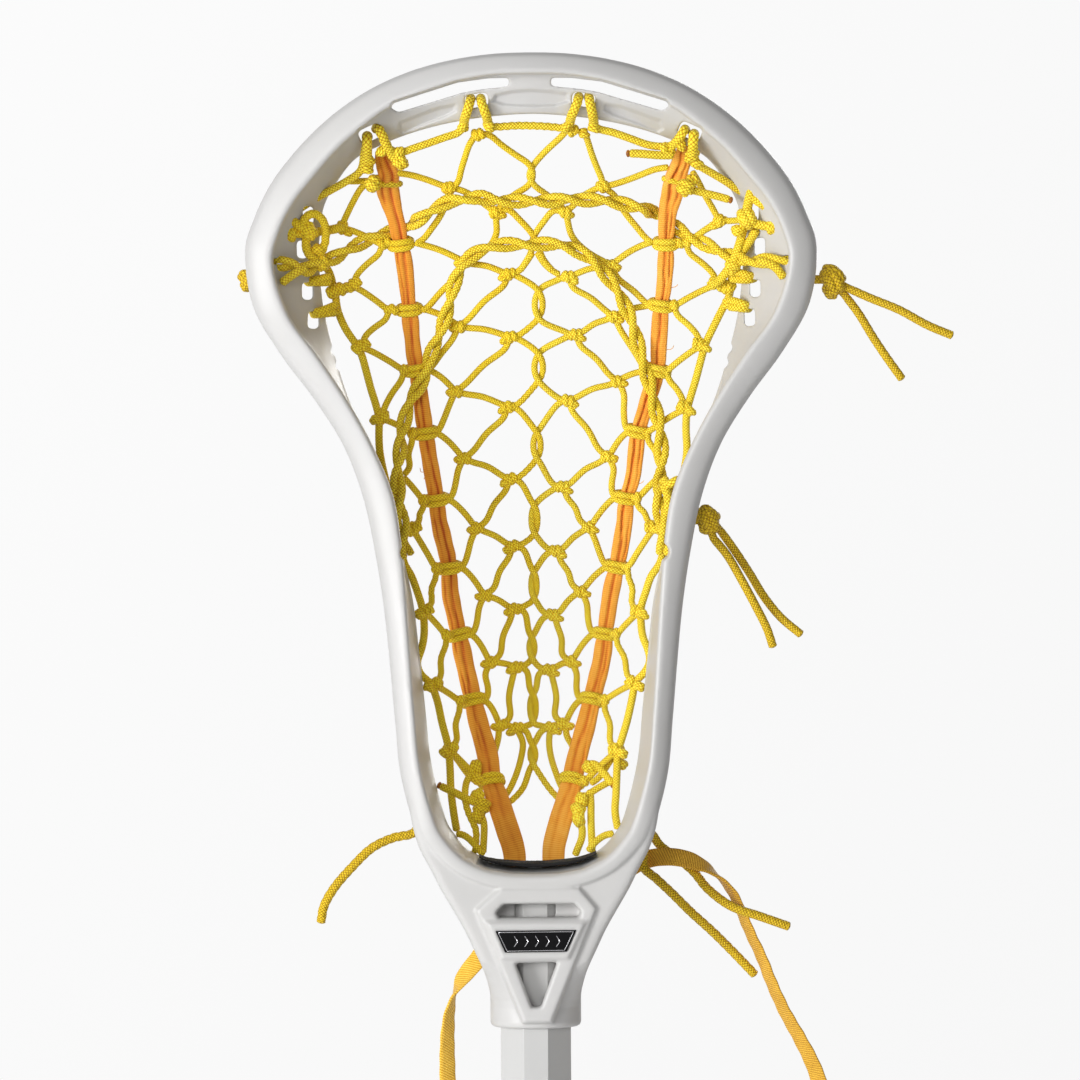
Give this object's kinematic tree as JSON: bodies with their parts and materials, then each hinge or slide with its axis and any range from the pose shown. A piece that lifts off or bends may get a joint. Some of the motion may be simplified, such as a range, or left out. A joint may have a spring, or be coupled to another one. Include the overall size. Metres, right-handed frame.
{
  "type": "lacrosse stick",
  "caption": "Lacrosse stick with a moulded white head, hand-laced yellow and orange pocket and an octagonal shaft with a rubber butt cap.",
  "frame": {"origin": "on the shaft's axis at the lower edge of the head's collar, where a hand or a rack holds the stick", "axes": "+Z along the shaft towards the head, +X to the right seen from the open side of the pocket, +Y from the open side towards the back"},
  "size_m": [0.259, 0.0763, 1.081],
  "materials": {
    "head_plastic": "satin moulded nylon",
    "badge_black": "gloss",
    "foam": "closed-cell foam",
    "shaft_white": "gloss white coat",
    "cap_rubber": "matte",
    "screw_steel": "brushed",
    "runner_orange": "woven",
    "strap_orange": "woven",
    "lace_yellow": "braided"
  },
  "bodies": {
    "stick": {"head": "head_plastic", "badge_plate": "badge_black", "ball_stop_pad": "foam", "shaft": "shaft_white", "head_screw": "screw_steel", "left_runner": "runner_orange", "right_runner": "runner_orange", "left_runner_tail": "strap_orange", "right_runner_tail": "strap_orange", "left_centre_lace": "lace_yellow", "right_centre_lace": "lace_yellow", "left_outer_lace": "lace_yellow", "right_outer_lace": "lace_yellow", "left_sidewall_string": "lace_yellow", "right_sidewall_string": "lace_yellow", "upper_shooting_cord_a": "lace_yellow", "upper_shooting_cord_b": "lace_yellow", "lower_shooting_cord_a": "lace_yellow", "lower_shooting_cord_b": "lace_yellow", "top_string": "lace_yellow", "left_outer_knot": "lace_yellow", "right_upper_knot": "lace_yellow", "right_middle_knot": "lace_yellow", "lower_left_tie": "lace_yellow", "lower_right_tie": "lace_yellow", "right_upper_tail_a": "lace_yellow", "right_upper_tail_b": "lace_yellow", "right_middle_tail_a": "lace_yellow", "right_middle_tail_b": "lace_yellow", "lower_left_tail": "lace_yellow", "lower_right_tail_a": "lace_yellow", "lower_right_tail_b": "lace_yellow"},
    "butt_cap": {"end_cap": "cap_rubber"}
  },
  "joints": [
    {"name": "end_cap_pull", "type": "slide", "parent": "stick", "child": "butt_cap", "axis": [0, 0, -1], "range_m": [0, 0.04]}
  ]
}
